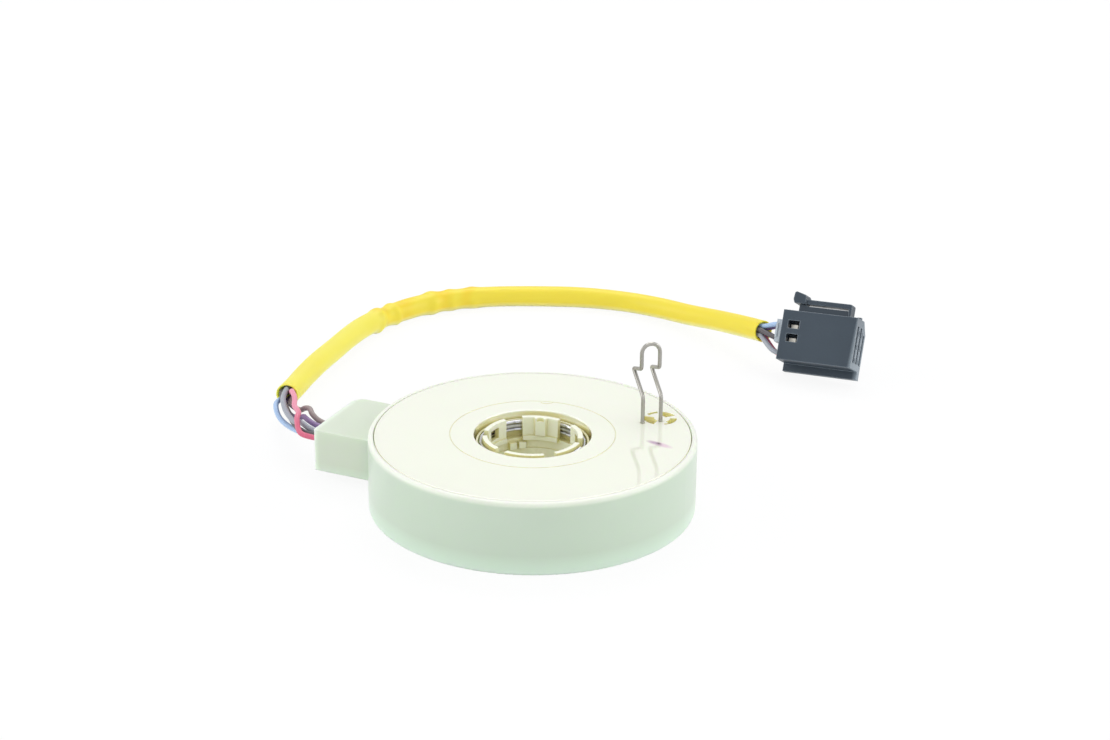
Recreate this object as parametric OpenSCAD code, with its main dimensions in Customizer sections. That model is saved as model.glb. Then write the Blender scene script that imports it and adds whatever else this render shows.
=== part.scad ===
/* [Housing] */
// Outer diameter of the round housing
housing_d = 80; // [76:0.5:90]
// Height of the housing, from its underside to the top of its rim
housing_h = 18.4; // [17.6:0.1:22]
// Thickness of the rim around the rotating cover
rim_t = 1.35; // [1:0.05:2]
// Thickness of the drum wall between the rim and the underside
drum_t = 2.6; // [2:0.1:3.4]
// Radius of the rounded outer edge at the top of the rim
rim_edge_r = 0.9; // [0.3:0.1:1.3]
// Radius of the rounded outer edge at the underside
foot_edge_r = 0.6; // [0.2:0.1:1]
/* [Outlet box] */
// Distance of the box's outer end from the shaft axis
box_reach = 54.7; // [50:0.1:64]
// Width of the box
box_w = 22.6; // [21:0.1:26]
// Height of the underside of the box above the housing's underside
box_low = 2.65; // [2.4:0.05:3]
// Height of the top of the box above the housing's underside
box_top = 13.5; // [12.6:0.1:15]
// Wall thickness of the box
box_t = 1.3; // [0.9:0.05:1.8]
// Radius of the box's corner on the sleeve side
box_back_r = 3.2; // [1.5:0.1:5]
// Radius of the box's other upright corner
box_front_r = 0.7; // [0.3:0.1:2]
/* [Rotating cover] */
// Thickness of the cover's face
cover_t = 2.2; // [1.8:0.1:2.6]
// Running gap between the cover and the rim
cover_gap = 0.15; // [0.1:0.05:0.3]
// Radius of the bore in the cover
cover_bore_r = 14.3; // [14.3:0.1:15.5]
// Wall thickness of the cover's neck
neck_t = 1.4; // [1:0.1:2]
// Height of the neck's lower end above the housing's underside
neck_low = 8.7; // [8.6:0.1:9]
// Radius of the moulded step line around the bore
step_r = 20; // [18:0.5:24]
/* [Hub] */
// Radius of the shaft bore through the hub
bore_r = 11.5; // [10.9:0.1:11.8]
// Wall thickness of the hub's tube
hub_t = 1.8; // [1.5:0.1:2]
// Gap between the hub's flange and the posts around it
flange_gap = 2.8; // [0.5:0.1:5]
// Thickness of the hub's flange
flange_t = 1.6; // [1.2:0.1:1.8]
// Angle by which the cover can turn on the hub, each way
twist = 8; // [5:1:12]
/* [Collet fingers] */
// Inner radius of the clamping fingers
finger_in = 11; // [10.6:0.1:11.3]
// Thickness of a finger
finger_t = 1.2; // [1:0.1:1.3]
// Angle covered by each of the two wide fingers
wide_angle = 47; // [42:1:50]
// Angle covered by each of the four narrow fingers
narrow_angle = 41; // [36:1:44]
// Direction of the key around the shaft axis
key_turn = 104; // [80:1:130]
// Depth of the finger tops below the cover's face
finger_drop = 0.5; // [0.2:0.1:1]
// Height of the fingers
finger_h = 6; // [5.4:0.1:6.2]
// Width of the key on one finger
key_w = 3.4; // [2.8:0.1:4]
// How far the key stands in from the finger's face
key_d = 0.9; // [0.5:0.1:1.4]
/* [Clamp spring] */
// Diameter of the spring wire around the fingers
spring_wire_d = 0.8; // [0.6:0.05:0.85]
// Turns of the spring
spring_turns = 3; // [2:1:3]
/* [Drive hook] */
// Diameter of the hook's wire
hook_wire_d = 1; // [0.8:0.05:1.2]
// Distance of the hook's outer leg from the cover's edge
hook_edge = 6.1; // [4.5:0.1:7]
// Distance between the hook's two legs
hook_gap = 4.6; // [4:0.1:5.4]
// Direction of the hook around the shaft axis
hook_turn = 39; // [30:1:50]
// Height of the legs' upright part above the cover
hook_rise = 6.8; // [5:0.1:9]
// How far the legs lean back
hook_lean = 8.5; // [6:0.1:10]
// Height of the first bend back above the cover
hook_knee = 11.1; // [10:0.1:13]
// How far the jog comes forward again
hook_jog = 6.6; // [5:0.1:8]
// Height of the jog's end above the cover
hook_jog_h = 13.5; // [13.2:0.1:15]
// Height of the rounded head's centre above the cover
hook_head_h = 17.6; // [17:0.1:20]
/* [Circuit board] */
// Thickness of the circuit board
board_t = 1.6; // [1:0.1:1.8]
// Height of the board's underside above the housing's underside
board_low = 6.6; // [6.2:0.1:6.8]
// Inner radius of the board
board_in = 17.5; // [17:0.1:19]
// Gap between the board's edge and the drum wall
board_gap = 0.9; // [0.5:0.1:2]
// Distance between neighbouring printed tracks
track_pitch = 3; // [2.6:0.1:3.2]
// Width of the board's tongue in the outlet box
tongue_w = 17; // [16:0.5:18]
/* [Wires] */
// Diameter of one insulated wire
wire_d = 1.4; // [1.2:0.05:1.45]
// Distance between neighbouring wires where they leave the box
wire_pitch = 1.6; // [1.6:0.05:1.8]
// Height of the wires where they leave the box
wire_z = 9.2; // [9.1:0.05:9.4]
// Diameter of the yellow sleeve
sleeve_d = 6; // [5.5:0.1:6]
/* [Connector] */
// Length of the connector's body
plug_l = 21.3; // [20:0.1:24]
// Height of the connector's body
plug_h = 13.9; // [13.6:0.1:15]
// Thickness of the connector's body
plug_t = 9.1; // [8.8:0.1:10]
// Height of the rail under the connector's body
rail_h = 2.25; // [1.5:0.05:3]
// Thickness of the rail
rail_t = 2; // [1.4:0.1:2.4]
// Distance between neighbouring contact rows
row_pitch = 3.75; // [3.6:0.05:3.9]
// Distance between the two contact columns
column_pitch = 3; // [2.9:0.05:3.2]
// Width of a contact chamber
chamber_w = 2.6; // [2.4:0.05:2.8]
// Depth of the mating recess
recess_d = 8; // [6:0.1:8.2]
// Thickness of the front wall beside the mating slots
hood_t = 1.3; // [1:0.05:1.5]
// Width of a mating slot
slot_w = 1.3; // [1:0.05:1.4]
// Height of the latch's thumb pad above the body
latch_h = 5.7; // [5:0.1:6.5]
// Thickness of the latch's beam
latch_t = 1.3; // [0.9:0.05:1.5]
// Width of the latch's beam
latch_w = 3.4; // [2.6:0.1:4]

/* [Hidden] */
$fn = 96;

// A cut runs this far past the face that it opens
over = 0.5;
// Clearance of pieces that lie still beside each other
seat_gap = 0.1;
// Radial clearance of the running fits
run_gap = 0.05;

housing_r = housing_d / 2;
rim_in = housing_r - rim_t;
drum_in = housing_r - drum_t;
cover_r = rim_in - cover_gap;
cover_low = housing_h - cover_t;
// The cover's outer band, which rides on the drum wall
cover_band = 1.2;
cover_band_t = 0.3;
ledge_z = cover_low - cover_band_t - seat_gap;

base_low = 0.3;
base_t = 1.6;
base_top = base_low + base_t;
base_r = housing_r - 1.9;
base_seat_r = base_r + seat_gap;

hub_r = bore_r + hub_t;
flange_low = base_top + seat_gap;
flange_top = flange_low + flange_t;
finger_out = finger_in + finger_t;
finger_top = housing_h - finger_drop;
finger_low = finger_top - finger_h;
hub_top = finger_low + 0.4;
// Collar that keeps the clamp spring in place
spring_gap = 0.15;
collar_in = finger_out + spring_wire_d + 2 * spring_gap;
collar_t = 0.5;
collar_drop = 1.8;
collar_low = hub_top - 1.2;
land_r = cover_bore_r - run_gap;
land_low = neck_low + 0.1;
land_h = 0.9;
// Direction of each finger from the key, and half of the angle that it covers
FINGERS = [[0, wide_angle / 2], [67, narrow_angle / 2], [122.5, narrow_angle / 2], [180.5, wide_angle / 2],
    [-121, narrow_angle / 2], [-67, narrow_angle / 2]];
// The spring can be seen through a window in these two, on the side away from the key
window_turn = 1.5;
// Small lugs on the bore's wall under the fingers, by their direction from the key
BORE_LUGS = [24, 37];
lug_zone = 2.4;
LUGS = [15, 195];
lug_low = 10.1;
lug_h = 1.6;
lug_half = 5;

board_top = board_low + board_t;
board_out = drum_in - board_gap;
POSTS = [45, 135, 225, 315];
post_r = 1.6;
peg_r = 0.9;
post_place = board_out - 2.1;
flange_r = post_place - post_r - flange_gap;
TRACKS = [for (i = [0:2]) board_in + 3.5 + i * track_pitch];
track_w = 1.8;

box_in_low = box_low + seat_gap;
box_floor_t = 1.25;
box_floor_top = box_in_low + box_floor_t;
clamp_t = 3;
clamp_y = -3;
clamp_x = -box_reach + box_t + seat_gap;
// The board's tongue ends this far inside the clamp
tongue_gap = 4.3;
board_reach = -clamp_x - clamp_t - tongue_gap;
solder_x = -board_reach + 3;
solder_r = 0.6;

// The order of the wires across the box, from the side that faces away from the sleeve
WIRE_COUNT = 6;
function wire_y(i) = clamp_y + (i - (WIRE_COUNT - 1) / 2) * wire_pitch;

// Route of the sleeve, from its open end beside the box to the connector
SLEEVE = [[-79.5, 18.5, 7], [-81, 25.5, 6.5], [-83, 34, 6], [-85, 45, 5.5], [-87, 57, 4.5], [-88.5, 69, 4],
    [-89, 80, 3.5], [-87.5, 91, 3], [-83, 102, 3], [-75.5, 111.5, 3], [-66, 118.5, 3], [-54, 124.5, 3],
    [-42, 129, 3], [-30, 131, 3], [-19, 129.5, 3.5], [-8, 125.5, 4.5], [3, 120, 6.5], [12.5, 114, 8.5],
    [20.5, 109, 10]];
// Routes of the wires between the box and the sleeve
PINK = [[-60, -7, 9.4], [-62, -6, 10.2], [-63.6, -3.8, 12], [-65, -0.5, 12.1], [-68.5, 3.5, 11.7],
    [-71, 8, 11.7], [-75, 13.5, 10.7]];
BLACK = [[-60, -5.1, 9.1], [-62.2, -4.1, 9], [-65.2, -1, 8], [-68.7, 2.4, 8], [-72.3, 6.6, 8.3], [-78, 14, 7.2]];
GREY = [[-60, -3.6, 9.7], [-62.8, -3, 10.6], [-65.7, -1.6, 9.9], [-68.4, 0.7, 9.8], [-71.8, 4.2, 10],
    [-75.9, 10.4, 9.8]];
BLUE = [[-60.5, -2, 7.5], [-68, 2.5, 5.5], [-75.5, 8, 5], [-80, 13.5, 6]];
VIOLET = [[-60, -0.5, 9.5], [-63, 0.5, 10], [-65, 2.2, 9.8], [-66.6, 3.2, 9], [-71, 7, 6.8], [-76.5, 13, 5.5]];
BROWN = [[-60, 1.5, 9.8], [-62.5, 2.2, 10.9], [-64.2, 3.8, 11.5], [-66.2, 5, 10.9], [-68.8, 6.6, 9.3],
    [-75.5, 13.5, 7]];
// Where each wire lies around the sleeve's centre at its open end, and how far the bundle twists on its way
OPEN_TURN = [35, 155, 95, 215, 275, 335];
bundle_twist = -125;
// The contact chamber that each wire goes into
CHAMBERS = [4, 3, 5, 1, 0, 2];
bundle_r = 1.55;

// The connector leans back on the lower edge of its rail
plug_place = [28, 106.7, 0];
plug_turn = [-29.3, -3, -0.84];
plug_top = rail_h + plug_h;
column_back = -2.9;
contact_l = 11.5;
contact_start = 1.2;
function column_y(i) = column_back - (i % 2) * column_pitch;
function row_z(i) = plug_top - 3.9 - floor(i / 2) * row_pitch;

function unit(v) = v / norm(v);
function tangents(p) = [for (i = [0:len(p) - 1]) unit(p[min(i + 1, len(p) - 1)] - p[max(i - 1, 0)])];
// Carries a side direction along a path without twisting it
function carried(t, side, i = 0) = i == len(t) ? [] :
    let (s = unit(side - (side * t[i]) * t[i])) concat([s], carried(t, s, i + 1));
function side_of(t) = unit(abs(t[2]) > 0.9 ? cross([1, 0, 0], t) : cross([0, 0, 1], t));
function ring(centre, s, t, r, n) = let (u = cross(t, s))
    [for (k = [0:n - 1]) centre + r * (cos(360 * k / n) * s + sin(360 * k / n) * u)];
function turned_x(v, a) = [v[0], v[1] * cos(a) - v[2] * sin(a), v[1] * sin(a) + v[2] * cos(a)];
function turned_y(v, a) = [v[0] * cos(a) + v[2] * sin(a), v[1], -v[0] * sin(a) + v[2] * cos(a)];
function turned_z(v, a) = [v[0] * cos(a) - v[1] * sin(a), v[0] * sin(a) + v[1] * cos(a), v[2]];
function on_plug(v) = plug_place + turned_z(turned_y(turned_x(v, plug_turn[0]), plug_turn[1]), plug_turn[2]);
// Rounds the corner b of a wire with a curve that starts and ends the distance r from it
function corner(a, b, c, r, n = 4) = let (p = b + r * unit(a - b), q = b + r * unit(c - b))
    [for (i = [0:n]) let (t = i / n) (1 - t) * (1 - t) * p + 2 * t * (1 - t) * b + t * t * q];
function rounded(p, r) = concat([p[0]],
    [for (i = [1:len(p) - 2]) each corner(p[i - 1], p[i], p[i + 1], r)], [p[len(p) - 1]]);
function reversed(p) = [for (i = [len(p) - 1:-1:0]) p[i]];

// A round bar along a path, with the directions of its two ends given or worked out
module bar(path, r, sides, first = undef, last = undef) {
    m = len(path);
    mid = tangents(path);
    t = [for (i = [0:m - 1]) i == 0 && !is_undef(first) ? first : i == m - 1 && !is_undef(last) ? last : mid[i]];
    s = carried(t, side_of(t[0]));
    points = [for (i = [0:m - 1]) each ring(path[i], s[i], t[i], r, sides)];
    faces = concat(
        [[for (k = [0:sides - 1]) k]],
        [for (i = [0:m - 2], k = [0:sides - 1])
            let (a = i * sides + k, b = i * sides + (k + 1) % sides) each [[a, b + sides, b], [a, a + sides, b + sides]]],
        [[for (k = [sides - 1:-1:0]) (m - 1) * sides + k]]);
    polyhedron(points, faces, 10);
}

// Cuts a rounded outer edge from a profile, at its outermost corner
module edge_cut(r) {
    difference() {
        square([r + over, r + over]);
        circle(r);
    }
}

module sector(r_in, r_out, z, h, half) {
    translate([0, 0, z])
        rotate([0, 0, -half])
            rotate_extrude(angle = 2 * half)
                translate([r_in, 0])
                    square([r_out - r_in, h]);
}

// Outline of the outlet box, seen from above
module box_outline(inset = 0) {
    x = -box_reach + inset;
    w = box_w / 2 - inset;
    back = max(box_back_r - inset, 0.4);
    front = max(box_front_r - inset, 0.3);
    difference() {
        translate([x, -w])
            square([box_reach - drum_in - inset, 2 * w]);
        translate([x + back, w - back])
            mirror([1, 0])
                edge_cut(back);
        translate([x + front, -w + front])
            mirror([1, 0])
                mirror([0, 1])
                    edge_cut(front);
    }
}

module housing_shell() color([0.79, 0.88, 0.81]) {
    difference() {
        union() {
            rotate_extrude() difference() {
                translate([drum_in, 0]) square([drum_t, housing_h]);
                translate([housing_r - rim_edge_r, housing_h - rim_edge_r]) edge_cut(rim_edge_r);
                translate([housing_r - foot_edge_r, foot_edge_r]) mirror([0, 1]) edge_cut(foot_edge_r);
                translate([0, ledge_z]) square([rim_in, housing_h]);
                translate([0, -over]) square([base_seat_r, base_top + seat_gap + over]);
            }
            difference() {
                translate([0, 0, box_low]) linear_extrude(box_top - box_low) box_outline();
                cylinder(h = housing_h, r = drum_in + drum_t / 2);
            }
        }
        box_room();
        outlet_window();
    }
}

// The hollow of the box, which opens downwards and through the drum wall
module box_room() {
    wide = box_w - 2 * box_t;
    translate([0, 0, box_low]) linear_extrude(box_top - box_t - box_low) intersection() {
        box_outline(box_t);
        translate([-box_reach, -wide / 2]) square([box_reach - drum_in + over, wide]);
    }
    translate([-drum_in - drum_t, -wide / 2, box_low]) cube([2 * drum_t, wide, box_top - box_t - box_low]);
    difference() {
        translate([0, 0, box_low - over]) linear_extrude(2 * over) box_outline(box_t);
        cylinder(h = housing_h, r = housing_r);
    }
}

module outlet_window() {
    long = WIRE_COUNT * wire_pitch + 0.4;
    translate([-box_reach - over, clamp_y - long / 2, wire_z - 1.2]) cube([box_t + 2 * over, long, 2.4]);
}

module base_cover() color([0.80, 0.88, 0.80]) {
    inner_w = box_w - 2 * box_t - 2 * seat_gap;
    difference() {
        union() {
            translate([0, 0, base_low]) cylinder(h = base_t, r = base_r);
            for (a = POSTS) rotate([0, 0, a]) translate([post_place, 0, base_low]) {
                cylinder(h = board_low - base_low, r = post_r);
                cylinder(h = board_top - base_low, r = peg_r);
            }
            for (a = [22.5:45:360]) rotate([0, 0, a]) translate([flange_r + 1.5, -0.4, base_low])
                cube([base_r - flange_r - 2.5, 0.8, base_t + 1.2]);
            intersection() {
                translate([-drum_in, -inner_w / 2, base_low]) cube([2, inner_w, box_floor_top - base_low]);
                cylinder(h = housing_h, r = drum_in - seat_gap);
            }
            translate([0, 0, box_in_low]) linear_extrude(box_floor_t) intersection() {
                box_outline(box_t + seat_gap);
                translate([-box_reach, -inner_w / 2]) square([box_reach - drum_in + 1, inner_w]);
            }
            translate([-drum_in - drum_t + seat_gap, -inner_w / 2, box_in_low])
                cube([drum_t + 1, inner_w, box_floor_t]);
        }
        translate([0, 0, base_low - over]) cylinder(h = base_t + 2 * over, r = hub_r + run_gap);
        // Shallow moulded groove around the bore, and a gate mark, on the underside
        rotate_extrude() translate([hub_r + 3, base_low - over]) square([1.2, over + 0.4]);
        rotate([0, 0, 70]) translate([26, 0, base_low - over]) cylinder(h = over + 0.4, r = 1.6);
    }
}

module circuit_board() color([0.20, 0.42, 0.26]) {
    difference() {
        union() {
            translate([0, 0, board_low]) cylinder(h = board_t, r = board_out);
            translate([-board_reach, -tongue_w / 2, board_low]) cube([board_reach - board_in, tongue_w, board_t]);
            // Printed resistive tracks, on both faces
            for (r = TRACKS) rotate_extrude() translate([r - track_w / 2, board_low - 0.05])
                square([track_w, board_t + 0.1]);
        }
        translate([0, 0, board_low - over]) cylinder(h = board_t + 2 * over, r = board_in);
        for (a = POSTS) rotate([0, 0, a]) translate([post_place, 0, board_low - over])
            cylinder(h = board_t + 2 * over, r = peg_r + seat_gap);
    }
}

module solder_joints() color([0.72, 0.73, 0.74]) {
    for (i = [0:WIRE_COUNT - 1]) translate([solder_x, wire_y(i), board_top]) {
        cylinder(h = wire_z - board_top, r = solder_r);
        translate([0, 0, wire_z - board_top]) cylinder(h = 0.8, r1 = solder_r, r2 = solder_r / 2);
    }
}

module wire_clamp() color([0.86, 0.88, 0.80]) {
    long = WIRE_COUNT * wire_pitch + 1.6;
    difference() {
        translate([clamp_x, clamp_y - long / 2, box_floor_top]) cube([clamp_t, long, box_top - box_t - box_floor_top - seat_gap]);
        for (i = [0:WIRE_COUNT - 1]) translate([clamp_x - over, wire_y(i), wire_z]) rotate([0, 90, 0])
            cylinder(h = clamp_t + 2 * over, r = wire_d / 2 + run_gap);
    }
}

module cover_plate() color([0.95, 0.94, 0.84]) {
    difference() {
        union() {
            rotate_extrude() difference() {
                union() {
                    translate([cover_bore_r, cover_low]) square([cover_r - cover_bore_r, cover_t]);
                    translate([cover_bore_r, neck_low]) square([neck_t, housing_h - neck_low]);
                    translate([cover_r - cover_band, cover_low - cover_band_t])
                        square([cover_band, cover_band_t + 0.2]);
                }
                translate([cover_r - 0.3, housing_h - 0.3]) edge_cut(0.3);
                translate([cover_bore_r + 0.3, housing_h - 0.3]) mirror([1, 0]) edge_cut(0.3);
                translate([step_r, housing_h - 0.12]) square([0.25, over]);
            }
            // Pad that carries the brush
            rotate([0, 0, wiper_turn]) sector(wiper_in, wiper_out, pad_low, cover_low - pad_low + 0.1, 12);
            // Stiffening ribs, which keep clear of the hook's feet
            for (a = [15:30:345]) rotate([0, 0, hook_turn + a])
                translate([cover_bore_r + neck_t - 0.2, -0.5, cover_low - 1.4])
                    cube([cover_r - cover_band - cover_bore_r - neck_t - 1.5, 1, 1.5]);
        }
        for (a = LUGS) rotate([0, 0, a])
            sector(cover_bore_r - over, cover_bore_r + neck_t + over, lug_low - 0.2, lug_h + 0.4, lug_half + twist + 0.6);
        rotate([0, 0, hook_turn]) {
            for (r = [hook_inner_r, hook_inner_r + hook_gap]) translate([r, 0, cover_low - over])
                cylinder(h = cover_t + 2 * over, r = hook_wire_d / 2 + run_gap);
            translate([hook_inner_r + hook_gap, 0, 0]) foot_pockets();
        }
        // Curved gate mark beside the bore
        rotate([0, 0, 105]) translate([cover_bore_r + 6.3, 0, 0]) rotate([0, 0, 190])
            sector(1.7, 2, housing_h - 0.12, over, 55);
    }
}

// The pockets behind the hook's outer leg are parts of a ring: inner and outer radius, first and last angle
POCKETS = [[3.2, 4.1, 83, 128], [1.5, 4.1, 10, 66], [1.5, 4.1, 145, 230], [2.4, 4.1, -72, -14], [3.4, 4, -92, -66]];
pocket_place = [0.45, 1.69];
pocket_d = 1.5;
module foot_pockets() {
    translate(pocket_place) for (p = POCKETS) rotate([0, 0, (p[2] + p[3]) / 2])
        sector(p[0], p[1], housing_h - pocket_d, pocket_d + over, (p[3] - p[2]) / 2);
}

// Place of a point of the hook: distance from the axis, distance behind it, height above the cover
hook_inner_r = cover_r - hook_edge - hook_gap;
function hook_point(r, back, h) = turned_z([r, back, housing_h + h], hook_turn);
foot_z = -cover_t - hook_wire_d / 2 - 0.05;
function hook_leg(r, foot) = [
    hook_point(r + foot, 0, foot_z), hook_point(r, 0, foot_z), hook_point(r, 0, hook_rise),
    hook_point(r, hook_lean, hook_knee), hook_point(r, hook_lean - hook_jog, hook_jog_h),
    hook_point(r, hook_lean - hook_jog, hook_head_h - 0.6)];
module drive_hook() color([0.55, 0.54, 0.51]) {
    head_r = hook_gap / 2;
    head = [for (a = [180:-20:0]) hook_point(hook_inner_r + head_r * (1 + cos(a)), hook_lean - hook_jog,
        hook_head_h + head_r * sin(a))];
    bar(concat(rounded(hook_leg(hook_inner_r, -2.2), 0.9), head,
        reversed(rounded(hook_leg(hook_inner_r + hook_gap, 2.2), 0.9))), hook_wire_d / 2, 12);
}

// The brushes: two arms of thin spring sheet on a foot plate
wiper_turn = 219;
wiper_in = TRACKS[0] - 1.5;
wiper_out = TRACKS[2] + 1.5;
pad_low = 12;
wiper_t = 0.25;
module brush(height) {
    // Outline of an arm seen from the side: foot, slope and rounded contact
    arm = [[0, 0], [4, 0], [9, height - 0.6], [10.4, height - 0.6], [10.4, height - 0.6 - wiper_t],
        [9.1, height - 0.6 - wiper_t], [4.2, -wiper_t], [0, -wiper_t]];
    translate([wiper_in + 0.5, -2.6, 0]) cube([wiper_out - wiper_in - 1, 3, wiper_t]);
    for (r = TRACKS) translate([r + 0.6, 0, wiper_t]) rotate([90, 0, -90]) {
        linear_extrude(1.2) polygon([for (p = arm) [p[0] - 1, max(p[1], -wiper_t)]]);
        translate([8.7, height - 0.6 - wiper_t + 0.05, 0]) cylinder(h = 1.2, r = 0.55);
    }
}

module cover_wiper() color([0.80, 0.65, 0.38]) {
    rotate([0, 0, wiper_turn]) translate([0, 0, pad_low - seat_gap]) mirror([0, 0, 1])
        brush(pad_low - seat_gap - board_top - 0.3);
}

module hub_wiper() color([0.80, 0.65, 0.38]) {
    rotate([0, 0, wiper_turn]) translate([0, 0, flange_top + seat_gap])
        brush(board_low - flange_top - seat_gap - 0.3);
}

module hub() color([0.93, 0.91, 0.78]) {
    difference() {
        union() {
            cylinder(h = hub_top, r = hub_r);
            translate([0, 0, flange_low]) cylinder(h = flange_t, r = flange_r);
            translate([0, 0, land_low]) cylinder(h = land_h, r = land_r);
            translate([0, 0, collar_low]) cylinder(h = housing_h - collar_drop - collar_low, r = collar_in + collar_t);
            for (a = LUGS) rotate([0, 0, a]) sector(bore_r + 0.2, cover_bore_r + neck_t - 0.1, lug_low, lug_h, lug_half);
        }
        translate([0, 0, -over]) cylinder(h = housing_h, r = bore_r);
        translate([0, 0, finger_low - lug_zone]) cylinder(h = housing_h, r = bore_r + 2 * seat_gap);
        translate([0, 0, hub_top]) cylinder(h = housing_h, r = collar_in);
    }
    rotate([0, 0, key_turn]) {
        for (i = [0:len(FINGERS) - 1]) rotate([0, 0, FINGERS[i][0]]) finger(FINGERS[i][1], i);
        for (a = BORE_LUGS) rotate([0, 0, a]) translate([bore_r - 1, -0.9, finger_low - lug_zone + 0.3])
            cube([1.6, 1.8, lug_zone - 0.7]);
    }
}

module finger(half, i) {
    // Windows lie in the first finger on each side of the key
    side = i == 1 ? 1 : i == len(FINGERS) - 1 ? -1 : 0;
    difference() {
        union() {
            sector(finger_in, finger_out, finger_low, finger_h, half);
            sector(finger_in - 0.3, finger_in + 0.3, finger_low, 1.2, half);
            if (i == 0) key();
        }
        if (side != 0) rotate([0, 0, side * window_turn]) translate([finger_in - 1, -1.7, finger_low + 2.1])
            cube([finger_t + 2, 3.4, 2.7]);
    }
}

module key() {
    low = finger_low + 1.5;
    root = finger_in + finger_t / 2;
    difference() {
        translate([0, 0, low]) linear_extrude(finger_top - low) polygon([[root, -key_w / 2], [finger_in - 0.1, -key_w / 2],
            [finger_in - key_d, -key_w / 2 + 0.5], [finger_in - key_d, key_w / 2 - 0.5], [finger_in - 0.1, key_w / 2],
            [root, key_w / 2]]);
        translate([finger_in - key_d, 0, finger_top - 0.8]) cylinder(h = 2, r = 0.9);
    }
}

module clamp_spring() color([0.72, 0.73, 0.76]) {
    r = finger_out + spring_gap + spring_wire_d / 2;
    pitch = spring_wire_d + 0.2;
    z = finger_low + 2;
    bar([for (i = [0:24 * spring_turns]) let (a = i * 15) [r * cos(a), r * sin(a), z + pitch * a / 360]],
        spring_wire_d / 2, 8);
}

open_dir = unit(SLEEVE[1] - SLEEVE[0]);
plug_dir = unit(SLEEVE[len(SLEEVE) - 1] - SLEEVE[len(SLEEVE) - 2]);
function bundle(centre, t, a) = let (s = side_of(t)) centre + bundle_r * (-cos(a) * s + sin(a) * cross(t, s));

// A wire shows between the box and the sleeve, and again between the sleeve and the connector
module wire(i, route) {
    open_end = bundle(SLEEVE[0], open_dir, OPEN_TURN[i]);
    bar(concat([[solder_x - solder_r - seat_gap, wire_y(i), wire_z], [-box_reach - 0.5, wire_y(i), wire_z]], route, [open_end]),
        wire_d / 2, 8, [-1, 0, 0], open_dir);
    start = bundle(SLEEVE[len(SLEEVE) - 1], plug_dir, OPEN_TURN[i] + bundle_twist);
    chamber = [0, column_y(CHAMBERS[i]), row_z(CHAMBERS[i])];
    bar([start, start + 0.5 * plug_dir, on_plug(chamber - [guide_l + 0.2, 0, 0]), on_plug(chamber + [contact_start - 0.1, 0, 0])],
        wire_d / 2, 8, plug_dir, on_plug([1, 0, 0]) - plug_place);
}

module wire_pink() color([0.86, 0.42, 0.53]) wire(0, PINK);
module wire_black() color([0.20, 0.19, 0.20]) wire(1, BLACK);
module wire_grey() color([0.60, 0.62, 0.66]) wire(2, GREY);
module wire_blue() color([0.62, 0.74, 0.90]) wire(3, BLUE);
module wire_violet() color([0.45, 0.33, 0.52]) wire(4, VIOLET);
module wire_brown() color([0.47, 0.41, 0.40]) wire(5, BROWN);

module sleeve() color([1.0, 0.84, 0.10]) bar(SLEEVE, sleeve_d / 2, 12);

module on_the_plug() {
    translate(plug_place) rotate(plug_turn) children();
}

module connector_housing() color([0.26, 0.29, 0.33]) on_the_plug() {
    difference() {
        union() {
            plug_body();
            latch();
        }
        for (i = [0:WIRE_COUNT - 1]) translate([-over, column_y(i) - chamber_w / 2, row_z(i) - chamber_w / 2])
            cube([contact_start + contact_l + over, chamber_w, chamber_w]);
        // Openings in the face where two contacts lock
        for (i = [1, 3]) translate([1.8, -plug_t - over, row_z(i) - 1.1]) cube([3.3, over + 3, 2.2]);
        mating_recess();
    }
}

// The guide at the wires' end, which the four upper wires go through
guide_l = 2.1;
module wire_guide() color([0.66, 0.70, 0.74]) on_the_plug() {
    low = (row_z(2) + row_z(4)) / 2 + 0.6;
    high = row_z(0) + chamber_w / 2;
    difference() {
        union() {
            translate([-guide_l, column_y(1) - chamber_w / 2, low]) cube([guide_l - seat_gap, column_pitch + chamber_w, high - low]);
            translate([-guide_l, column_y(1) - chamber_w / 2 - 0.3, low + 1.2]) cube([0.6, column_pitch + chamber_w + 0.6, high - low - 2.4]);
        }
        for (i = [0:3]) translate([-guide_l - over, column_y(i), row_z(i)]) rotate([0, 90, 0])
            cylinder(h = guide_l + 2 * over, r = wire_d / 2 + run_gap);
    }
}

chamfer_t = 2.8;
chamfer_h = 3.5;
module plug_body() {
    rotate([90, 0, 90]) linear_extrude(plug_l) polygon([[-plug_t, rail_h], [-rail_t, rail_h], [-rail_t, 0], [0, 0],
        [0, plug_top - chamfer_h], [-chamfer_t, plug_top], [-plug_t, plug_top]]);
    translate([plug_l - 1.2, -5.6, plug_top - 0.1]) cube([1, 1.2, 0.7]);
}

// Three slots for the mating part's walls, with a row of blade openings between each two
module mating_recess() {
    rib = column_pitch - slot_w;
    first = -plug_t + hood_t;
    for (i = [0:2]) {
        top = i == 2 ? plug_top - chamfer_h - 0.2 : plug_top - 2.1;
        translate([plug_l - recess_d, first + i * (slot_w + rib - 0.15), rail_h + 1.7])
            cube([recess_d + over, slot_w, top - rail_h - 1.7]);
    }
    for (i = [0:WIRE_COUNT - 1]) translate([plug_l - recess_d - 1, column_y(i) - 0.3, row_z(i) - 0.7])
        cube([recess_d + 2, 0.6, 1.4]);
}

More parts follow.
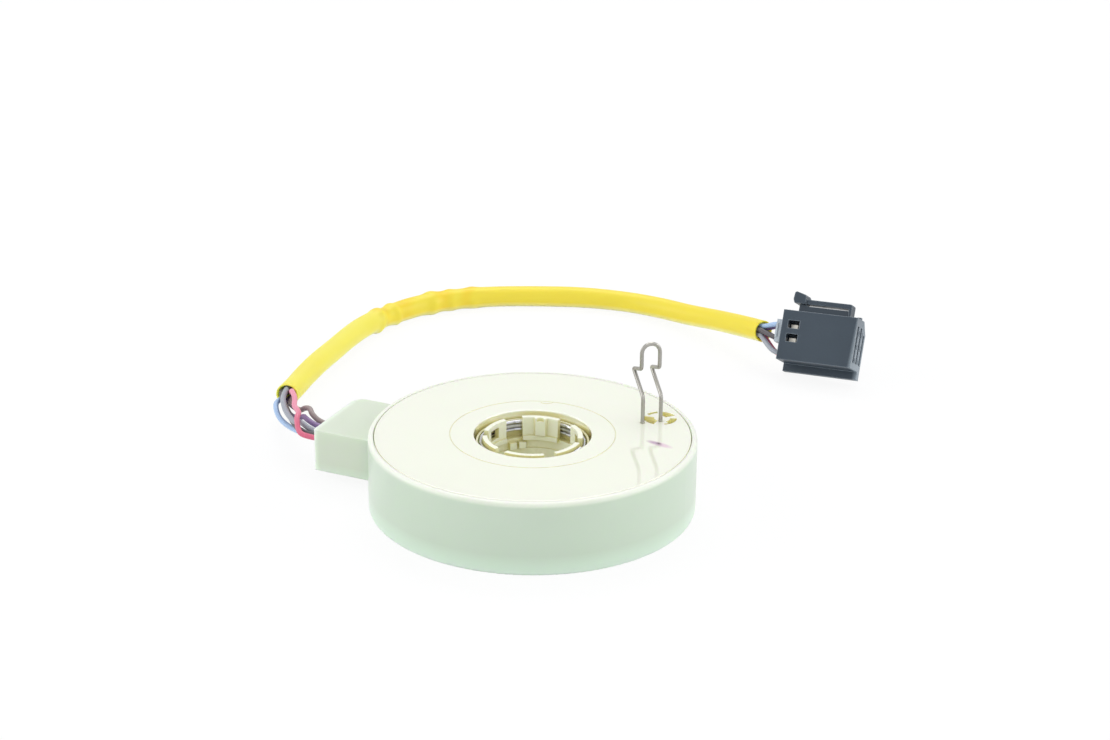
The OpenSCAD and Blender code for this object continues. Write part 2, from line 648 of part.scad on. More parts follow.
// The latch is a springy beam moulded on the body, with its thumb pad at the wires' end
module latch() {
    beam_low = plug_top + latch_h - 3.2;
    beam_top = beam_low + latch_t;
    hinge = plug_l - 3.1;
    pad = [1.6, 5];
    mid = -plug_t / 2;
    across(mid, latch_w) polygon([[pad[1] - 1, beam_low], [hinge - 0.9, beam_low], [hinge - 0.5, plug_top - 0.1],
        [hinge, plug_top - 0.1], [hinge, beam_top - 0.3], [hinge - 0.3, beam_top], [pad[1] - 1, beam_top]]);
    across(mid, latch_w + 1.2) polygon([[pad[0] + 0.2, beam_low], [pad[1] - 0.2, beam_low], [pad[1], beam_low + 0.4],
        [pad[1], beam_top + 0.7], [pad[1] - 0.3, plug_top + latch_h - 0.7], [pad[0] + 0.5, plug_top + latch_h],
        [pad[0], plug_top + latch_h - 0.3], [pad[0] - 0.2, beam_low + 1]]);
    // Rib on the body under the beam, with a stop for the thumb pad's end
    across(mid, latch_w - 1) polygon([[3.1, plug_top - 0.1], [hinge - 0.2, plug_top - 0.1], [hinge - 0.7, beam_low - 0.5],
        [pad[1] + 0.2, beam_low - 0.5], [pad[1] + 0.2, beam_low - 0.1], [3.1, beam_low - 0.1]]);
}

// Draws an outline of the connector's length and height with a width around a middle line
module across(mid, w) {
    translate([0, mid + w / 2, 0]) rotate([90, 0, 0]) linear_extrude(w) children();
}

// A contact is a spring box for the mating blade, with a crimped tail around its wire
module contact(i) color([0.74, 0.72, 0.66]) on_the_plug() translate([contact_start, column_y(i), row_z(i)]) {
    w = chamber_w - 0.4;
    t = 0.3;
    box_start = 5;
    difference() {
        translate([box_start, -w / 2, -w / 2]) cube([contact_l - box_start - 0.2, w, w]);
        translate([box_start - over, -w / 2 + t, -w / 2 + t]) cube([contact_l, w - 2 * t, w - 2 * t]);
    }
    translate([0, -0.8, -w / 2]) cube([box_start + 0.1, 1.6, t]);
    for (s = [-1, 1]) translate([0.9, s * 0.8 - 0.15, -w / 2]) cube([1.9, 0.3, w - 0.9]);
    translate([3.3, -0.8, -w / 2]) cube([t, 1.6, w]);
}

housing_shell();
base_cover();
circuit_board();
solder_joints();
wire_clamp();
cover_plate();
drive_hook();
cover_wiper();
hub();
clamp_spring();
hub_wiper();
wire_pink();
wire_black();
wire_grey();
wire_blue();
wire_violet();
wire_brown();
sleeve();
connector_housing();
wire_guide();
contact(0);  // contact_1
contact(1);  // contact_2
contact(2);  // contact_3
contact(3);  // contact_4
contact(4);  // contact_5
contact(5);  // contact_6
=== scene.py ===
"""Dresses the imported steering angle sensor: camera, light, wires, sleeve and the finish of every piece."""

import math

import bpy
from mathutils import Matrix, Vector


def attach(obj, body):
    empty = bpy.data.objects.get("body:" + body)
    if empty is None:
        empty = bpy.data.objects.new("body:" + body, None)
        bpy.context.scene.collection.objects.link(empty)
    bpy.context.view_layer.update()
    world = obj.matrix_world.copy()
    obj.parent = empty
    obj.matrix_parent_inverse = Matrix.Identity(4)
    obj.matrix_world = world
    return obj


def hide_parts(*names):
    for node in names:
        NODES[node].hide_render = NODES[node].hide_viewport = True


MM = 0.001
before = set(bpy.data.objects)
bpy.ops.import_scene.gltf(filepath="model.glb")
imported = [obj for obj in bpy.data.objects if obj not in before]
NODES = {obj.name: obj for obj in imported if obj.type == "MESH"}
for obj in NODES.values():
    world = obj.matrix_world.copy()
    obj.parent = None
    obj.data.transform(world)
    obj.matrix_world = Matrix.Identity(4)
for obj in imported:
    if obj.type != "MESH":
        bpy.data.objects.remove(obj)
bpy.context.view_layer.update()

# Camera: where the photograph was taken from, in the part's frame
CAMERA_PLACE = (228.25, -499.76, 260.08)
CAMERA_PITCH = 22.272
CAMERA_TURN = 24.0
CAMERA_ROLL = 0.632
CAMERA_LENS = 80.195
CAMERA_REACH = (0.01, 20)
SENSOR = 36.0

# The sleeve's route and the wires' routes, as in the part's source, in millimetres
SLEEVE = [(-79.5, 18.5, 7), (-81, 25.5, 6.5), (-83, 34, 6), (-85, 45, 5.5), (-87, 57, 4.5), (-88.5, 69, 4),
          (-89, 80, 3.5), (-87.5, 91, 3), (-83, 102, 3), (-75.5, 111.5, 3), (-66, 118.5, 3), (-54, 124.5, 3),
          (-42, 129, 3), (-30, 131, 3), (-19, 129.5, 3.5), (-8, 125.5, 4.5), (3, 120, 6.5), (12.5, 114, 8.5),
          (20.5, 109, 10)]
WIRES = {
    "pink": [(-60, -7, 9.4), (-62, -6, 10.2), (-63.6, -3.8, 12), (-65, -0.5, 12.1), (-68.5, 3.5, 11.7),
             (-71, 8, 11.7), (-75, 13.5, 10.7)],
    "black": [(-60, -5.1, 9.1), (-62.2, -4.1, 9), (-65.2, -1, 8), (-68.7, 2.4, 8), (-72.3, 6.6, 8.3),
              (-78, 14, 7.2)],
    "grey": [(-60, -3.6, 9.7), (-62.8, -3, 10.6), (-65.7, -1.6, 9.9), (-68.4, 0.7, 9.8), (-71.8, 4.2, 10),
             (-75.9, 10.4, 9.8)],
    "blue": [(-60.5, -2, 7.5), (-68, 2.5, 5.5), (-75.5, 8, 5), (-80, 13.5, 6)],
    "violet": [(-60, -0.5, 9.5), (-63, 0.5, 10), (-65, 2.2, 9.8), (-66.6, 3.2, 9), (-71, 7, 6.8),
               (-76.5, 13, 5.5)],
    "brown": [(-60, 1.5, 9.8), (-62.5, 2.2, 10.9), (-64.2, 3.8, 11.5), (-66.2, 5, 10.9), (-68.8, 6.6, 9.3),
              (-75.5, 13.5, 7)],
}
OPEN_TURN = [35, 155, 95, 215, 275, 335]
BUNDLE_TWIST = -125
BUNDLE_R = 1.55
CHAMBERS = [4, 3, 5, 1, 0, 2]
WIRE_D = 1.4
WIRE_PITCH = 1.6
WIRE_Z = 9.2
CLAMP_Y = -3.0
BOX_REACH = 54.7
WIRE_START = -43.7
CLAMP_MIDDLE = -50
OUTLET_LEAD = 0.5
SLEEVE_LEAD = 0.5
SLEEVE_R = 3.0
SLEEVE_WALL = 0.42

# The connector's place and its chambers, as in the part's source
PLUG_PLACE = Vector((28, 106.7, 0))
PLUG_TURN = (-29.3, -3, -0.84)
PLUG_TOP = 16.15
COLUMN_BACK = -2.9
COLUMN_PITCH = 3.0
ROW_PITCH = 3.75
ROW_DROP = 3.9
CONTACT_START = 1.2
CONTACT_LEAD = 0.1
GUIDE_END = 2.3

# How finely the routes are cut between two of their points
WIRE_STEPS = 5
CENTRE_STEPS = 9
CENTRE_PER_WIRE = 3
SLEEVE_STEPS = 24
WIRE_ROUNDNESS = 4


def turned(v):
    """A point of the connector, in the part's frame."""
    turn = Matrix.Identity(3)
    for angle, axis in zip(PLUG_TURN, "XYZ"):
        turn = Matrix.Rotation(math.radians(angle), 3, axis) @ turn
    return PLUG_PLACE + turn @ Vector(v)


def smooth(points, steps):
    """A curve through the points, with that many steps between neighbours."""
    p = [Vector(q) for q in points]
    p = [2 * p[0] - p[1], *p, 2 * p[-1] - p[-2]]
    line = []
    for a, b, c, d in zip(p, p[1:], p[2:], p[3:]):
        for k in range(steps):
            t = k / steps
            line.append(0.5 * (2 * b + (c - a) * t + (2 * a - 5 * b + 4 * c - d) * t * t
                               + (3 * b - 3 * c + d - a) * t * t * t))
    return line + [p[-2]]


def tangents(line):
    last = len(line) - 1
    return [(line[min(i + 1, last)] - line[max(i - 1, 0)]).normalized() for i in range(last + 1)]


def side_of(t):
    return Vector((0, 0, 1)).cross(t).normalized()


def around(centre, t, angle, r):
    """The point at that angle and distance around a line's point: 0 is on its right, 90 is above."""
    s = side_of(t)
    a = math.radians(angle)
    return centre + r * (-math.cos(a) * s + math.sin(a) * t.cross(s))


# Pieces
def place_camera():
    pitch = math.radians(CAMERA_PITCH)
    roll = math.radians(CAMERA_ROLL)
    forward = Vector((0, math.cos(pitch), -math.sin(pitch)))
    right = Vector((1, 0, 0))
    up = right.cross(forward)
    axes = Matrix((math.cos(roll) * right + math.sin(roll) * up,
                   -math.sin(roll) * right + math.cos(roll) * up, -forward)).transposed()
    camera = bpy.data.objects.new("camera", bpy.data.cameras.new("camera"))
    bpy.context.collection.objects.link(camera)
    turn = Matrix.Rotation(math.radians(CAMERA_TURN), 3, "Z")
    camera.matrix_world = Matrix.Translation(Vector(CAMERA_PLACE) * MM) @ (turn @ axes).to_4x4()
    camera.data.lens = CAMERA_LENS
    camera.data.sensor_width = SENSOR
    camera.data.clip_start, camera.data.clip_end = CAMERA_REACH
    bpy.context.scene.camera = camera


def wire_y(i):
    """Where a wire leaves the outlet box, along its end."""
    return CLAMP_Y + (i - (len(WIRES) - 1) / 2) * WIRE_PITCH


def wire_line(i, name, centre):
    """The whole line of a wire: from its solder joint through the sleeve to its contact."""
    y = wire_y(i)
    t = tangents(centre)
    inside = []
    for k in range(0, len(centre), CENTRE_PER_WIRE):
        angle = OPEN_TURN[i] + BUNDLE_TWIST * k / (len(centre) - 1)
        inside.append(around(centre[k], t[k], angle, BUNDLE_R))
    row, column = divmod(CHAMBERS[i], 2)
    place = Vector((0, COLUMN_BACK - column * COLUMN_PITCH, PLUG_TOP - ROW_DROP - row * ROW_PITCH))
    tail = [inside[-1] + SLEEVE_LEAD * t[-1], turned(place - Vector((GUIDE_END, 0, 0))),
            turned(place + Vector((CONTACT_START - CONTACT_LEAD, 0, 0)))]
    head = [(WIRE_START, y, WIRE_Z), (CLAMP_MIDDLE, y, WIRE_Z), (-BOX_REACH - OUTLET_LEAD, y, WIRE_Z)]
    return smooth(head + WIRES[name] + inside + tail, WIRE_STEPS)


def make_wire(i, name, centre):
    line = wire_line(i, name, centre)
    curve = bpy.data.curves.new("lead_" + name, "CURVE")
    curve.dimensions = "3D"
    curve.bevel_depth = WIRE_D / 2 * MM
    curve.bevel_resolution = WIRE_ROUNDNESS
    curve.use_fill_caps = True
    spline = curve.splines.new("POLY")
    spline.points.add(len(line) - 1)
    for point, p in zip(spline.points, line):
        point.co = (*(p * MM), 1)
    piece = bpy.data.objects.new("lead_" + name, curve)
    bpy.context.collection.objects.link(piece)
    length = sum((b - a).length for a, b in zip(line, line[1:])) * MM
    return piece, length


def mesh_piece(name, points, faces):
    mesh = bpy.data.meshes.new(name)
    mesh.from_pydata([tuple(p) for p in points], [], faces)
    mesh.update()
    mesh.polygons.foreach_set("use_smooth", [True] * len(mesh.polygons))
    piece = bpy.data.objects.new(name, mesh)
    bpy.context.collection.objects.link(piece)
    return piece


SLEEVE_SIDES = 36
# How far the sleeve is out of round, and how long its two slow waves are, in millimetres
WAVE = 0.05
WAVE_TURN = 9
WAVE_SWELL = 13
# How much a fold's height changes around the sleeve
FOLD_UNEVEN = 0.15
# The folds that the sleeve got when it was bent: place along it, height, half width and slant, in millimetres
FOLDS = [(67.4, 0.55, 1.3, 1.0), (71.6, -0.16, 1.6, 0.0), (74.9, 0.42, 1.2, -0.4), (81.0, 0.08, 3.0, 0.0),
         (89.0, 0.52, 1.9, 0.3), (92.3, -0.05, 1.2, 0.0), (95.2, 0.26, 1.3, 0.0), (98.6, -0.05, 1.5, 0.0),
         (102.2, 0.28, 1.7, -0.3)]


def sleeve_shape(run, angle):
    """How far the sleeve's skin stands out or in from a true round, in millimetres."""
    a = math.radians(angle)
    out = WAVE * math.sin(2 * a + run / WAVE_TURN) * math.sin(run / WAVE_SWELL)
    for place, height, width, slant in FOLDS:
        away = (run - place - slant * math.sin(a)) / width
        out += height * (1 + FOLD_UNEVEN * math.sin(3 * a + place)) * math.exp(-away * away)
    return out


def make_sleeve(centre):
    """The hollow sleeve: its outer skin and its bore, joined at both ends. The table holds its folds up."""
    t = tangents(centre)
    run = [0.0]
    for a, b in zip(centre, centre[1:]):
        run.append(run[-1] + (b - a).length)
    rings = []
    for skin in (0, 1):
        order = range(len(centre)) if skin == 0 else reversed(range(len(centre)))
        for k in order:
            ring = []
            for j in range(SLEEVE_SIDES):
                angle = 360 * j / SLEEVE_SIDES
                r = SLEEVE_R + sleeve_shape(run[k], angle) - skin * SLEEVE_WALL
                point = around(centre[k], t[k], angle, r)
                point.z = max(point.z, skin * SLEEVE_WALL)
                ring.append(point * MM)
            rings.append(ring)
    n = SLEEVE_SIDES
    faces = []
    for a in range(len(rings)):
        b = (a + 1) % len(rings)
        for j in range(n):
            k = (j + 1) % n
            faces.append((a * n + j, a * n + k, b * n + k, b * n + j))
    return mesh_piece("yellow_sleeve", [p for ring in rings for p in ring], faces)


# Materials: how every finish is built up
PATCH_RANGE = (0.35, 0.65)
NOISE_DETAIL = 3.0
GLOSS_PER_PATCH = 3
RELIEF_STRENGTH = 0.3
BEVEL_SAMPLES = 6
# The colours of light that go furthest through milky plastic, and how far in metres
MILK_RADIUS = (0.8, 1.0, 0.7)
MILK_REACH = 0.002
# How open to light a recess is where its painted shade is at full, and where it ends
RECESS_SAMPLES = 8
RECESS_FROM = 0.35
RECESS_TO = 0.85
# How alike the rounded and the flat normal are where an edge's painted highlight begins, and where it is at
# full
EDGE_FROM = 0.99
EDGE_TO = 0.8
EDGE_SHARE = 0.8
# Makes an oval a column that is high enough for every piece
TALL = 1000


def new_material(name):
    made = bpy.data.materials.new(name)
    made.use_nodes = True
    return made, made.node_tree.nodes, made.node_tree.links, made.node_tree.nodes["Principled BSDF"]


def base_tone(made):
    """The nodes, the links and the colour socket of a material."""
    tree = made.node_tree
    return tree.nodes, tree.links, tree.nodes["Principled BSDF"].inputs["Base Color"]


def noise(nodes, links, scale):
    """A noise texture in the piece's own coordinates: scale is in features per metre."""
    place = nodes.new("ShaderNodeTexCoord")
    texture = nodes.new("ShaderNodeTexNoise")
    texture.inputs["Scale"].default_value = scale
    texture.inputs["Detail"].default_value = NOISE_DETAIL
    links.new(place.outputs["Object"], texture.inputs["Vector"])
    return texture.outputs["Fac"]


def between(nodes, links, value, low, high, a=PATCH_RANGE[0], b=PATCH_RANGE[1]):
    """Maps the value's range a to b onto low to high."""
    mapped = nodes.new("ShaderNodeMapRange")
    mapped.inputs["From Min"].default_value = a
    mapped.inputs["From Max"].default_value = b
    mapped.inputs["To Min"].default_value = low
    mapped.inputs["To Max"].default_value = high
    links.new(value, mapped.inputs["Value"])
    return mapped.outputs["Result"]


def mix(nodes, links, factor, a, b):
    """Mixes two colours, each a tuple or a socket, by a number or a socket."""
    mixed = nodes.new("ShaderNodeMix")
    mixed.data_type = "RGBA"
    colours = [s for s in mixed.inputs if s.type == "RGBA"]
    factors = [s for s in mixed.inputs if s.type == "VALUE" and s.name == "Factor"]
    for socket, value in ((factors[0], factor), (colours[0], a), (colours[1], b)):
        if isinstance(value, bpy.types.NodeSocket):
            links.new(value, socket)
        elif isinstance(value, tuple):
            socket.default_value = (*value, 1)
        else:
            socket.default_value = value
    return [s for s in mixed.outputs if s.type == "RGBA"][0]


def finish(name, colour, second, rough, metal=0.0, grain=900.0, bump=0.02, patch=60.0, milk=0.0, edge=0.0,
           glass=1.5, recess_shade=None, edge_highlight=None):
    """A finish with slow colour patches, uneven gloss, a fine grain and softly rounded edges.

    Roughness runs between two values, bump and edge are in millimetres, and grain and patch are in features
    per metre. The recess shade is a painted shade that tints recesses up to a reach in millimetres, and the
    edge highlight is a painted highlight that pales the edges.
    """
    made, nodes, links, shader = new_material(name)
    patches = between(nodes, links, noise(nodes, links, patch), 0, 1)
    links.new(mix(nodes, links, patches, colour, second), shader.inputs["Base Color"])
    gloss = between(nodes, links, noise(nodes, links, patch * GLOSS_PER_PATCH), *rough)
    links.new(gloss, shader.inputs["Roughness"])
    if recess_shade:
        add_painted_recess_shade(nodes, links, shader, recess_shade)
    relief = nodes.new("ShaderNodeBump")
    relief.inputs["Strength"].default_value = RELIEF_STRENGTH
    relief.inputs["Distance"].default_value = bump * MM
    links.new(noise(nodes, links, grain), relief.inputs["Height"])
    if edge:
        soft = nodes.new("ShaderNodeBevel")
        soft.samples = BEVEL_SAMPLES
        soft.inputs["Radius"].default_value = edge * MM
        links.new(soft.outputs["Normal"], relief.inputs["Normal"])
        if edge_highlight:
            add_painted_edge_highlight(nodes, links, shader, soft, edge_highlight)
    links.new(relief.outputs["Normal"], shader.inputs["Normal"])
    shader.inputs["Metallic"].default_value = metal
    shader.inputs["IOR"].default_value = glass
    if milk:
        shader.inputs["Subsurface Weight"].default_value = milk
        shader.inputs["Subsurface Radius"].default_value = MILK_RADIUS
        shader.inputs["Subsurface Scale"].default_value = MILK_REACH
    return made


def add_painted_recess_shade(nodes, links, shader, recess_shade):
    """Painted shade: recesses take the deeper tone that milky plastic has where light reaches it through more
    of itself.
    """
    base = shader.inputs["Base Color"]
    open_to_light = nodes.new("ShaderNodeAmbientOcclusion")
    open_to_light.samples = RECESS_SAMPLES
    tone, reach = recess_shade
    open_to_light.inputs["Distance"].default_value = reach * MM
    share = between(nodes, links, open_to_light.outputs["AO"], 1, 0, RECESS_FROM, RECESS_TO)
    links.new(mix(nodes, links, share, base.links[0].from_socket, tone), base)


def add_painted_edge_highlight(nodes, links, shader, soft, tone):
    """A painted highlight along edges: a paler tone where the softly rounded normal leaves the face's own."""
    face = nodes.new("ShaderNodeNewGeometry")
    same = nodes.new("ShaderNodeVectorMath")
    same.operation = "DOT_PRODUCT"
    links.new(soft.outputs["Normal"], same.inputs[0])
    links.new(face.outputs["Normal"], same.inputs[1])
    share = between(nodes, links, same.outputs["Value"], 0, EDGE_SHARE, EDGE_FROM, EDGE_TO)
    base = shader.inputs["Base Color"]
    links.new(mix(nodes, links, share, base.links[0].from_socket, tone), base)


def add_glow(made, bands):
    """Bands of another tone: axis, where each begins and is at full in millimetres, its share and colour."""
    nodes, links, base = base_tone(made)
    place = nodes.new("ShaderNodeTexCoord")
    split = nodes.new("ShaderNodeSeparateXYZ")
    links.new(place.outputs["Object"], split.inputs[0])
    colour = base.links[0].from_socket
    for axis, start, end, share, glow in bands:
        reach = between(nodes, links, split.outputs[axis], 0, share, start * MM, end * MM)
        colour = mix(nodes, links, reach, colour, glow)
    links.new(colour, base)


def blot(nodes, links, place, turn, half, inner):
    """A soft-edged oval at a place on top of a piece, in millimetres: 1 inside, 0 outside."""
    where = nodes.new("ShaderNodeTexCoord")
    moved = nodes.new("ShaderNodeMapping")
    moved.vector_type = "TEXTURE"
    moved.inputs["Location"].default_value = (place[0] * MM, place[1] * MM, 0)
    moved.inputs["Rotation"].default_value = (0, 0, math.radians(turn))
    moved.inputs["Scale"].default_value = (half[0] * MM, half[1] * MM, TALL)
    links.new(where.outputs["Object"], moved.inputs["Vector"])
    far = nodes.new("ShaderNodeVectorMath")
    far.operation = "LENGTH"
    links.new(moved.outputs["Vector"], far.inputs[0])
    return between(nodes, links, far.outputs["Value"], 1, 0, inner, 1)


# The streak of ink: the place and half size of each oval in millimetres, its colour and where its edge begins
INK = [((30.5, 7.2), (3.9, 1.3), (0.80, 0.60, 0.68), 0.5),
       ((28.9, 7.5), (2.7, 1.1), (0.46, 0.30, 0.42), 0.2),
       ((29.8, 7.6), (1.0, 0.65), (0.14, 0.09, 0.13), 0.1)]
INK_TURN = -12


def add_ink(made):
    """The short streak of violet ink beside the hook."""
    nodes, links, base = base_tone(made)
    colour = base.links[0].from_socket
    for place, half, ink, inner in INK:
        colour = mix(nodes, links, blot(nodes, links, place, INK_TURN, half, inner), colour, ink)
    links.new(colour, base)


def add_coat(made, weight, rough, glass):
    """A clear, glossy skin over a finish."""
    shader = made.node_tree.nodes["Principled BSDF"]
    shader.inputs["Coat Weight"].default_value = weight
    shader.inputs["Coat Roughness"].default_value = rough
    shader.inputs["Coat IOR"].default_value = glass


def dress(node, made):
    mesh = NODES[node].data
    mesh.materials.clear()
    mesh.materials.append(made)


# Tones: the housing is paler on its box; painted light pales the upward-facing top of its rim and its foot,
# where the table lights it from below; a painted highlight pales its edges and the box's lit end
HOUSING_PAINTED_HIGHLIGHT = (0.86, 0.95, 0.84)
HOUSING_BANDS = [("X", -38, -42, 0.95, (0.67, 0.735, 0.60)),
                 ("X", -53.2, -54.8, 0.8, HOUSING_PAINTED_HIGHLIGHT),
                 ("Z", 17, 18.3, 0.85, (0.90, 0.93, 0.80)),
                 ("Z", 5, 0.8, 0.7, (0.76, 0.93, 0.77))]
# Painted shade in the cover's and hub's recesses: its deeper tone and its reach in millimetres
COVER_RECESS_SHADE = ((0.84, 0.78, 0.38), 7)
HUB_RECESS_SHADE = ((0.74, 0.68, 0.32), 12)
# A painted highlight pales the connector's edges, and painted light pales its mating end, which faces the
# light from the right
PLUG_PAINTED_HIGHLIGHT = (0.36, 0.42, 0.48)
PLUG_LIT_END = [("X", 47.8, 49, 0.7, (0.34, 0.40, 0.45))]


def dress_all():
    housing = finish("housing_plastic", (0.60, 0.70, 0.57), (0.61, 0.71, 0.58), (0.28, 0.30), bump=0.005,
                     milk=0.7, edge=0.5, edge_highlight=HOUSING_PAINTED_HIGHLIGHT)
    add_glow(housing, HOUSING_BANDS)
    base = finish("base_plastic", (0.73, 0.84, 0.70), (0.76, 0.86, 0.72), (0.38, 0.5), milk=0.2, edge=0.25)
    cover = finish("cover_plastic", (0.89, 0.91, 0.765), (0.90, 0.92, 0.775), (0.01, 0.03), bump=0.001,
                   milk=0.3, edge=0.15, glass=2.0, recess_shade=COVER_RECESS_SHADE)
    add_ink(cover)
    add_coat(cover, 0.8, 0.01, 1.6)
    hub = finish("hub_plastic", (0.89, 0.91, 0.72), (0.91, 0.93, 0.75), (0.26, 0.36), milk=0.3, edge=0.2,
                 recess_shade=HUB_RECESS_SHADE)
    board = finish("board", (0.16, 0.36, 0.22), (0.14, 0.32, 0.20), (0.3, 0.4))
    solder = finish("solder", (0.70, 0.71, 0.72), (0.62, 0.63, 0.64), (0.3, 0.45), metal=1.0)
    clamp = finish("clamp_plastic", (0.80, 0.83, 0.74), (0.77, 0.80, 0.71), (0.4, 0.5), edge=0.15)
    hook = finish("hook_wire", (0.40, 0.39, 0.36), (0.33, 0.32, 0.30), (0.32, 0.45), metal=1.0)
    spring = finish("spring_wire", (0.62, 0.63, 0.68), (0.52, 0.53, 0.58), (0.22, 0.32), metal=1.0)
    bronze = finish("bronze", (0.76, 0.60, 0.34), (0.70, 0.54, 0.30), (0.25, 0.35), metal=1.0)
    plug = finish("connector_plastic", (0.028, 0.045, 0.065), (0.034, 0.052, 0.074), (0.36, 0.48), edge=0.35,
                  edge_highlight=PLUG_PAINTED_HIGHLIGHT)
    add_glow(plug, PLUG_LIT_END)
    guide = finish("guide_plastic", (0.50, 0.55, 0.60), (0.46, 0.51, 0.56), (0.36, 0.48), edge=0.15)
    contact = finish("contact_metal", (0.70, 0.68, 0.62), (0.62, 0.60, 0.54), (0.28, 0.4), metal=1.0)
    worn_by = {"housing_shell": housing, "base_cover": base, "cover_plate": cover, "hub": hub,
               "circuit_board": board, "solder_joints": solder, "wire_clamp": clamp, "drive_hook": hook,
               "clamp_spring": spring, "cover_wiper": bronze, "hub_wiper": bronze, "connector_housing": plug,
               "wire_guide": guide}
    for node, made in worn_by.items():
        dress(node, made)
    for i in range(len(WIRES)):
        dress(f"contact_{i + 1}", contact)


WIRE_COLOURS = {
    "pink": (0.86, 0.30, 0.42),
    "black": (0.10, 0.09, 0.10),
    "grey": (0.36, 0.38, 0.43),
    "blue": (0.42, 0.58, 0.84),
    "violet": (0.30, 0.20, 0.40),
    "brown": (0.34, 0.27, 0.26),
}


# Painted shade: the pink wire is darker near the outlet box, where it lies in the other wires' shade
PINK_PAINTED_SHADE = [("X", -67, -62, 1.0, (0.68, 0.13, 0.22))]
WIRE_SECOND_TONE = 0.9
# The sleeve past its bend is golden; its folds are more so, where painted shade darkens their creases: the
# place and half size of each oval in millimetres
GOLDEN_RUN = [("Y", 83, 87, 0.9, (1.0, 0.76, 0.04))]
FOLD_SHADE_OVALS = [((-88.4, 87.3), (3.2, 3.5)), ((-85.2, 96.2), (3.0, 5.5)), ((-78.4, 107.6), (3.6, 4.6)),
                ((-72.7, 113.5), (2.2, 5.0))]
FOLD_SHADE_TONE = (1.0, 0.68, 0.02)
FOLD_EDGE = 0.3
# Its underside is lemon, painted light from the table below: how far down the skin faces where that tone
# begins and where it is at full
UNDER_PAINTED_LIGHT = (1.0, 1.0, 0.42)
UNDER_FROM = -0.25
UNDER_TO = -0.85
UNDER_SHARE = 0.9


def add_warmth(made):
    """The sleeve: painted light makes it lemon where light comes through from below; it is golden past the
    bend, and painted shade makes it golden on the folds.
    """
    add_glow(made, GOLDEN_RUN)
    nodes, links, base = base_tone(made)
    colour = base.links[0].from_socket
    for place, half in FOLD_SHADE_OVALS:
        colour = mix(nodes, links, blot(nodes, links, place, 0, half, FOLD_EDGE), colour, FOLD_SHADE_TONE)
    skin = nodes.new("ShaderNodeNewGeometry")
    split = nodes.new("ShaderNodeSeparateXYZ")
    links.new(skin.outputs["Normal"], split.inputs[0])
    below = between(nodes, links, split.outputs["Z"], 0, UNDER_SHARE, UNDER_FROM, UNDER_TO)
    links.new(mix(nodes, links, below, colour, UNDER_PAINTED_LIGHT), base)


def make_lead():
    centre = smooth(SLEEVE, CENTRE_STEPS)
    sleeve = make_sleeve(smooth(SLEEVE, SLEEVE_STEPS))
    skin = finish("sleeve_plastic", (1.0, 0.85, 0.09), (1.0, 0.88, 0.10), (0.40, 0.48), bump=0.001, milk=0.5)
    add_warmth(skin)
    sleeve.data.materials.append(skin)
    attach(sleeve, "housing")
    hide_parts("sleeve")
    for i, name in enumerate(WIRES):
        wire, length = make_wire(i, name, centre)
        colour = WIRE_COLOURS[name]
        skin = finish("wire_" + name, colour, tuple(WIRE_SECOND_TONE * c for c in colour), (0.35, 0.45))
        if name == "pink":
            add_glow(skin, PINK_PAINTED_SHADE)
        wire.data.materials.append(skin)
        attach(wire, "housing")
        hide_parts("wire_" + name)
        ends = [NODES[f"contact_{CHAMBERS[i] + 1}"]]
        if i == 0:
            ends += [sleeve, NODES["connector_housing"], NODES["wire_guide"]]


# Surroundings
FLOOR_SIZE = 6
FLOOR_COLOUR = (0.95, 0.955, 0.955, 1)
FLOOR_ROUGH = 0.9
FLOOR_WHITE = 0.9
ROOM_COLOUR = (0.93, 0.96, 1.0, 1)
ROOM_LIGHT = 0.5


def worked_out(nodes, links, operation, a, b):
    """What the operation makes of two values: a is a socket, b a socket or a number."""
    made = nodes.new("ShaderNodeMath")
    made.operation = operation
    links.new(a, made.inputs[0])
    if isinstance(b, bpy.types.NodeSocket):
        links.new(b, made.inputs[1])
    else:
        made.inputs[1].default_value = b
    return made.outputs[0]


def white_for_the_eye(nodes, links, lit, white, share):
    """Mixes a lit shader with plain white by that share, for what the camera, glass and mirrors see."""
    path = nodes.new("ShaderNodeLightPath")
    seen = worked_out(nodes, links, "ADD", path.outputs["Is Camera Ray"], path.outputs["Is Glossy Ray"])
    seen = worked_out(nodes, links, "ADD", seen, path.outputs["Is Transmission Ray"])
    seen = worked_out(nodes, links, "MINIMUM", seen, 1.0)
    mixed = nodes.new("ShaderNodeMixShader")
    links.new(worked_out(nodes, links, "MULTIPLY", seen, share), mixed.inputs["Fac"])
    links.new(lit, mixed.inputs[1])
    links.new(white, mixed.inputs[2])
    return mixed.outputs[0]


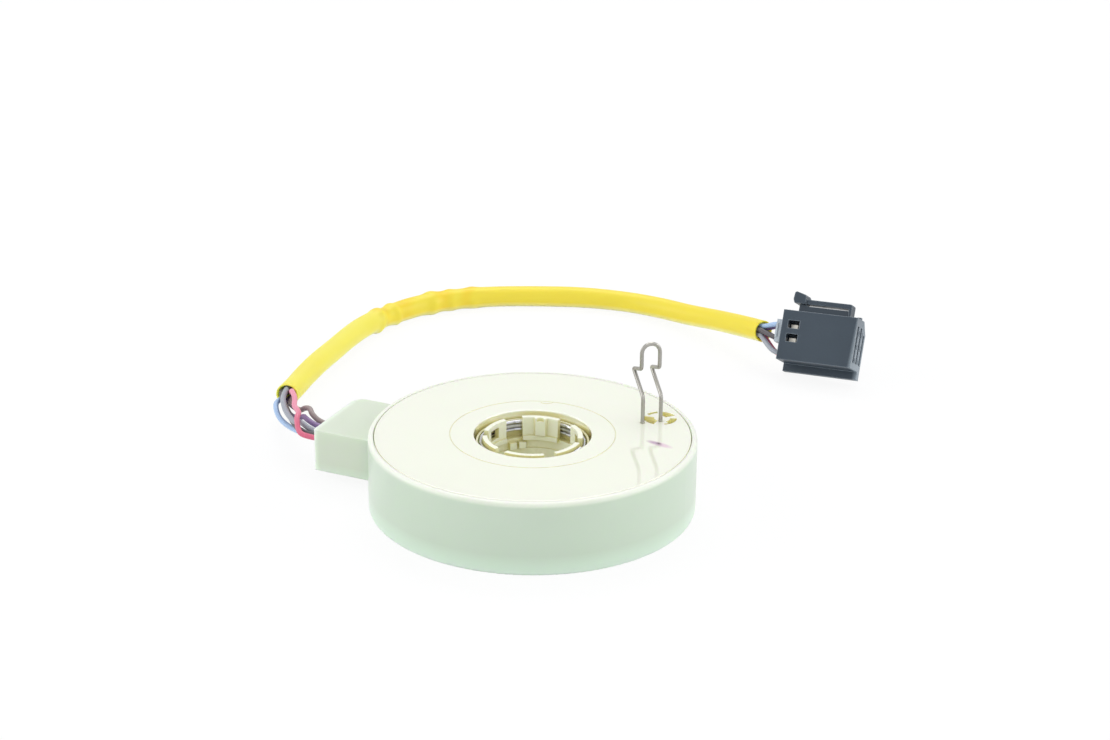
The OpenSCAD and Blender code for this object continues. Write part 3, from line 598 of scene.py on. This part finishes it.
def make_surroundings():
    bpy.ops.mesh.primitive_plane_add(size=FLOOR_SIZE)
    floor = bpy.context.object
    floor.name = "floor"
    made, nodes, links, shader = new_material("floor_paper")
    shader.inputs["Base Color"].default_value = FLOOR_COLOUR
    shader.inputs["Roughness"].default_value = FLOOR_ROUGH
    glow = nodes.new("ShaderNodeEmission")
    glow.inputs["Color"].default_value = (1, 1, 1, 1)
    links.new(white_for_the_eye(nodes, links, shader.outputs["BSDF"], glow.outputs[0], FLOOR_WHITE),
              nodes["Material Output"].inputs["Surface"])
    floor.data.materials.append(made)
    world = bpy.data.worlds.new("studio")
    bpy.context.scene.world = world
    world.use_nodes = True
    nodes, links = world.node_tree.nodes, world.node_tree.links
    room = nodes["Background"]
    room.inputs["Color"].default_value = ROOM_COLOUR
    room.inputs["Strength"].default_value = ROOM_LIGHT
    white = nodes.new("ShaderNodeBackground")
    links.new(white_for_the_eye(nodes, links, room.outputs[0], white.outputs[0], 1.0),
              nodes["World Output"].inputs["Surface"])


# Lamps: place, what it points at, width and height in metres, and power in watts
LAMPS = {
    "top_lamp": ((0.1, -0.1, 1.1), (0, 0.03, 0), (1.2, 1.0), 2.4),
    "front_lamp": ((0.45, -1.0, 0.6), (0, 0, 0), (1.4, 1.0), 2.5),
    "left_lamp": ((-1.0, -0.45, 0.5), (0, 0, 0), (0.9, 0.7), 4.6),
    "right_lamp": ((1.05, 0.45, 0.5), (0, 0, 0), (0.9, 0.7), 4.6),
    "back_lamp": ((-0.3, 0.75, 1.15), (0, 0, 0), (1.0, 0.6), 6),
}


def lamp(name, place, target, size, power):
    light = bpy.data.lights.new(name, "AREA")
    light.shape = "RECTANGLE"
    light.size, light.size_y = size
    light.energy = power
    made = bpy.data.objects.new(name, light)
    bpy.context.collection.objects.link(made)
    made.location = place
    made.rotation_mode = "QUATERNION"
    made.rotation_quaternion = (Vector(target) - Vector(place)).to_track_quat("-Z", "Y")


place_camera()
make_lead()
dress_all()
make_surroundings()
for lamp_name, settings in LAMPS.items():
    lamp(lamp_name, *settings)
bpy.context.scene.view_settings.view_transform = "Standard"
